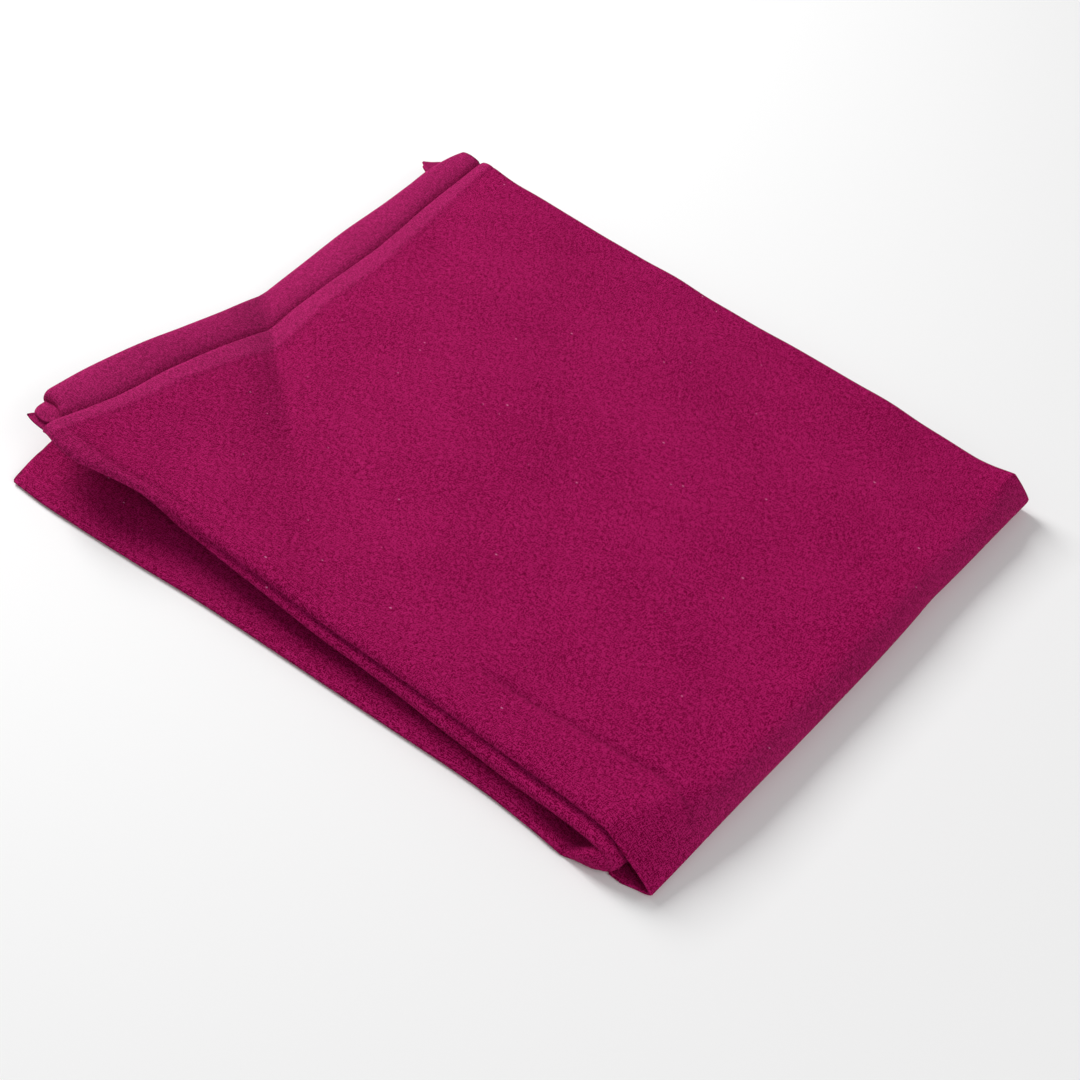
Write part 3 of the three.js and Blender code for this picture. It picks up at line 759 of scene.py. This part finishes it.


# The cloth's finish, with its painted sheen and painted crease shade. A noise is its grain along the wrap and
# across it, in millimetres, and its detail.
cotton = {
    "dye": (0.294, 0.0015, 0.069),
    "darkThread": (0.152, 0.0001, 0.031),
    "paleThread": (0.455, 0.012, 0.13),
    "paintedSheenTint": (0.036, 0.0072, 0.022),  # painted sheen, added where the cloth is pressed
    "lint": (0.68, 0.2, 0.4),
    "threadPitch": 0.42,  # millimetres from wave to wave of the weave
    "warpNoise": (2.4, 0.36, 2.0),
    "weftNoise": (0.36, 2.0, 2.0),
    "alongSlubs": (2.8, 0.45, 0.0),
    "acrossSlubs": (0.45, 3.2, 0.0),
    "napNoise": (0.46, 0.46, 1.0),
    "cloudNoise": (55.0, 38.0, 3.0),
    "contrast": 1.9,
    "pressedCalm": 0.3,  # the share of the contrast that pressing takes away
    "threads": 2.3,
    "nap": 3.4,
    "cloud": 0.4,
    "slubs": 7.0,
    "slubStart": 0.67,  # only noise above this makes a slub
    "weave": 0.12,
    # painted shade: how far the creased lines darken the colour
    "creaseShade": 0.42,
    "paintedShadeGrey": (0.5, 0.5, 0.5),
    "lintCell": (6.0, 3.6),
    "lintTurn": 0.6,
    "lintRare": 0.82,  # cells whose random number is above this have lint
    "lintSize": 0.1,
    "lintStrength": 0.75,
    "roughness": 0.75,
    "specular": 0.025,
    "sheen": 0.012,
    "sheenRoughness": 0.45,
    "sheenTint": (1.0, 0.55, 0.8),
    "bump": 0.00009,
    "weaveBump": 0.25,
    "threadBump": 0.8,
}


def wovenCotton(name, look):
    # Plain weave in the cloth's own map, scaled to millimetres. Long thin noise along the warp and along the
    # weft gives the uneven threads and the slubs, the product of two sine waves gives the weave, rounder
    # noise gives the nap and the cloudy dye, and the middles of rare small cells give pale lint. Pressed
    # places are calmer and get a painted sheen that makes them paler, and painted shade makes creased lines
    # darker.
    material = bpy.data.materials.new(name)
    material.use_nodes = True
    nodes, links = material.node_tree.nodes, material.node_tree.links
    shader = nodes["Principled BSDF"]

    def add(kind, **settings):
        node = nodes.new(kind)
        for key, value in settings.items():
            setattr(node, key, value)
        return node

    def link(source, target):
        links.new(source, target)

    def calc(operation, first, second=None, clamp=False):
        node = add("ShaderNodeMath", operation=operation, use_clamp=clamp)
        for socket, value in zip(node.inputs, (first, second)):
            if value is None:
                continue
            if isinstance(value, (int, float)):
                socket.default_value = value
            else:
                link(value, socket)
        return node.outputs[0]

    def colourMix(blendType, factor, first, second):
        # the node's two colours are inputs 6 and 7, and the mixed colour is output 2
        node = add("ShaderNodeMix", data_type="RGBA", blend_type=blendType)
        link(factor, node.inputs["Factor"])
        link(first, node.inputs[6])
        node.inputs[7].default_value = (*second, 1)
        return node.outputs[2]

    clothMap = add("ShaderNodeUVMap", uv_map="clothMap").outputs[0]

    def mapped(along, across, turn):
        mapping = add("ShaderNodeMapping")
        mapping.inputs["Rotation"].default_value = (0, 0, turn)
        mapping.inputs["Scale"].default_value = (1 / (along * metres), 1 / (across * metres), 1)
        link(clothMap, mapping.inputs[0])
        return mapping.outputs[0]

    def noise(along, across, detail):
        node = add("ShaderNodeTexNoise")
        node.inputs["Scale"].default_value = 1
        node.inputs["Detail"].default_value = detail
        link(mapped(along, across, 0), node.inputs["Vector"])
        return node.outputs["Fac"]

    def centred(value, middle, strength):
        return calc("MULTIPLY", calc("SUBTRACT", value, middle), strength)

    # the threads, the nap, the cloudy dye, the slubs and the weave, as one lightness
    separate = add("ShaderNodeSeparateXYZ")
    link(clothMap, separate.inputs[0])
    turns = 2 * np.pi / (look["threadPitch"] * metres)
    waveAlong, waveAcross = [calc("SINE", calc("MULTIPLY", separate.outputs[k], turns)) for k in (0, 1)]
    weave = calc("MULTIPLY", waveAlong, waveAcross)
    threads = centred(calc("ADD", noise(*look["warpNoise"]), noise(*look["weftNoise"])), 1.0, look["threads"])
    nap = centred(noise(*look["napNoise"]), 0.5, look["nap"])
    cloud = centred(noise(*look["cloudNoise"]), 0.5, look["cloud"])
    slub = calc("MAXIMUM", noise(*look["alongSlubs"]), noise(*look["acrossSlubs"]))
    slub = calc("MAXIMUM", calc("SUBTRACT", slub, look["slubStart"]), 0.0)
    slub = calc("MULTIPLY", slub, look["slubs"])
    total = calc("ADD", calc("ADD", threads, nap), calc("ADD", cloud, slub))
    total = calc("ADD", total, calc("MULTIPLY", weave, look["weave"]))

    # from dark thread through the dye to pale thread, with less contrast where the cloth is pressed
    pressedSheen = add("ShaderNodeAttribute", attribute_name="pressedSheen").outputs["Fac"]
    calmed = calc("MULTIPLY", pressedSheen, look["contrast"] * look["pressedCalm"])
    shade = calc("ADD", calc("MULTIPLY", total, calc("SUBTRACT", look["contrast"], calmed)), 0.5, clamp=True)
    ramp = add("ShaderNodeValToRGB")
    stops = ramp.color_ramp.elements
    stops[0].position = 0.0
    stops[0].color = (*look["darkThread"], 1)
    stops[1].position = 1.0
    stops[1].color = (*look["paleThread"], 1)
    middleStop = stops.new(0.5)
    middleStop.color = (*look["dye"], 1)
    link(shade, ramp.inputs[0])
    # painted sheen: a paler tint is added where the cloth is pressed
    colour = colourMix("ADD", pressedSheen, ramp.outputs[0], look["paintedSheenTint"])
    # painted shade: the colour is darkened towards grey along the creased lines
    paintedCreaseShade = add("ShaderNodeAttribute", attribute_name="paintedCreaseShade").outputs["Fac"]
    colour = colourMix("MULTIPLY", calc("MULTIPLY", paintedCreaseShade, look["creaseShade"]), colour, look["paintedShadeGrey"])

    # lint: the middle of a rare cell, longer one way than the other
    cells = add("ShaderNodeTexVoronoi")
    cells.inputs["Scale"].default_value = 1
    cells.inputs["Randomness"].default_value = 1
    link(mapped(*look["lintCell"], look["lintTurn"]), cells.inputs["Vector"])
    pick = add("ShaderNodeSeparateColor")
    link(cells.outputs["Color"], pick.inputs[0])
    rare = calc("GREATER_THAN", pick.outputs[0], look["lintRare"])
    fleck = calc("LESS_THAN", cells.outputs["Distance"], calc("MULTIPLY", pick.outputs[1], look["lintSize"]))
    lint = calc("MULTIPLY", calc("MULTIPLY", rare, fleck), look["lintStrength"])
    link(colourMix("MIX", lint, colour, look["lint"]), shader.inputs["Base Color"])

    shader.inputs["Roughness"].default_value = look["roughness"]
    shader.inputs["Specular IOR Level"].default_value = look["specular"]
    shader.inputs["Sheen Weight"].default_value = look["sheen"]
    shader.inputs["Sheen Roughness"].default_value = look["sheenRoughness"]
    shader.inputs["Sheen Tint"].default_value = (*look["sheenTint"], 1)
    weaveHeight = calc("MULTIPLY", weave, look["weaveBump"])
    bump = add("ShaderNodeBump")
    bump.inputs["Strength"].default_value = 1.0
    bump.inputs["Distance"].default_value = look["bump"]
    link(calc("ADD", weaveHeight, calc("MULTIPLY", total, look["threadBump"])), bump.inputs["Height"])
    link(bump.outputs[0], shader.inputs["Normal"])
    return material


dyed = wovenCotton("dyedCotton", cotton)
for piece, node in ((coverPiece, "outer_fold"), (leafPiece, "middle_fold"), (corePiece, "core_fold")):
    piece.data.materials.append(dyed)
    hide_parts(node)
    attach(piece, "root")
for ply in plyPieces:
    ply.data.materials.append(dyed)
    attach(ply, "root")
print("dyed and placed", 3 + len(plyPieces), "pieces")

# The studio, in metres in the part's frame.
studio = {
    "cameraPlace": (0.32258, -0.48707, 0.5942),
    "lookAt": (0.02238, -0.01987, 0.0),
    "roll": 7.64,  # degrees
    "lens": 66.67,
    "sensor": 36,
    "keyLight": {"place": (-1.25, 0.2, 0.92), "size": 0.7, "power": 25.5},
    "fillLight": {"place": (1.3, -0.4, 0.95), "size": 1.2, "power": 9.5},
    "airStrength": 0.28,
    "floorReach": 3,
    "floorPaint": (0.93, 0.93, 0.93),
    "floorRoughness": 0.9,
}


def towards(place, target):
    # The turn that points a lamp or a camera from its place at a target.
    return (Vector(target) - Vector(place)).to_track_quat("-Z", "Y")


def areaLight(name, look):
    light = bpy.data.lights.new(name, "AREA")
    light.size = look["size"]
    light.energy = look["power"]
    lamp = bpy.data.objects.new(name, light)
    lamp.location = look["place"]
    lamp.rotation_euler = towards(look["place"], (0, 0, 0)).to_euler()
    bpy.context.scene.collection.objects.link(lamp)


def paleFloor(reach):
    # A plain square under the packet.
    mesh = bpy.data.meshes.new("studioFloor")
    corners = [(-reach, -reach, 0), (reach, -reach, 0), (reach, reach, 0), (-reach, reach, 0)]
    mesh.from_pydata(corners, [], [(0, 1, 2, 3)])
    paint = bpy.data.materials.new("paleFloor")
    paint.use_nodes = True
    shader = paint.node_tree.nodes["Principled BSDF"]
    shader.inputs["Base Color"].default_value = (*studio["floorPaint"], 1)
    shader.inputs["Roughness"].default_value = studio["floorRoughness"]
    mesh.materials.append(paint)
    floor = bpy.data.objects.new("studioFloor", mesh)
    bpy.context.scene.collection.objects.link(floor)
    return floor


paleFloor(studio["floorReach"])
for lampName in ("keyLight", "fillLight"):
    areaLight(lampName, studio[lampName])
world = bpy.data.worlds.new("studioAir")
world.use_nodes = True
air = world.node_tree.nodes["Background"]
air.inputs["Color"].default_value = (1, 1, 1, 1)
air.inputs["Strength"].default_value = studio["airStrength"]
bpy.context.scene.world = world
bpy.context.scene.view_settings.view_transform = "Standard"

cameraData = bpy.data.cameras.new("camera")
cameraData.lens = studio["lens"]
cameraData.sensor_width = studio["sensor"]
camera = bpy.data.objects.new("camera", cameraData)
bpy.context.scene.collection.objects.link(camera)
camera.location = studio["cameraPlace"]
aim = towards(studio["cameraPlace"], studio["lookAt"]).to_matrix().to_4x4()
camera.rotation_euler = (aim @ Matrix.Rotation(np.radians(studio["roll"]), 4, "Z")).to_euler()
bpy.context.scene.camera = camera
print("floor, lights and camera are in place")
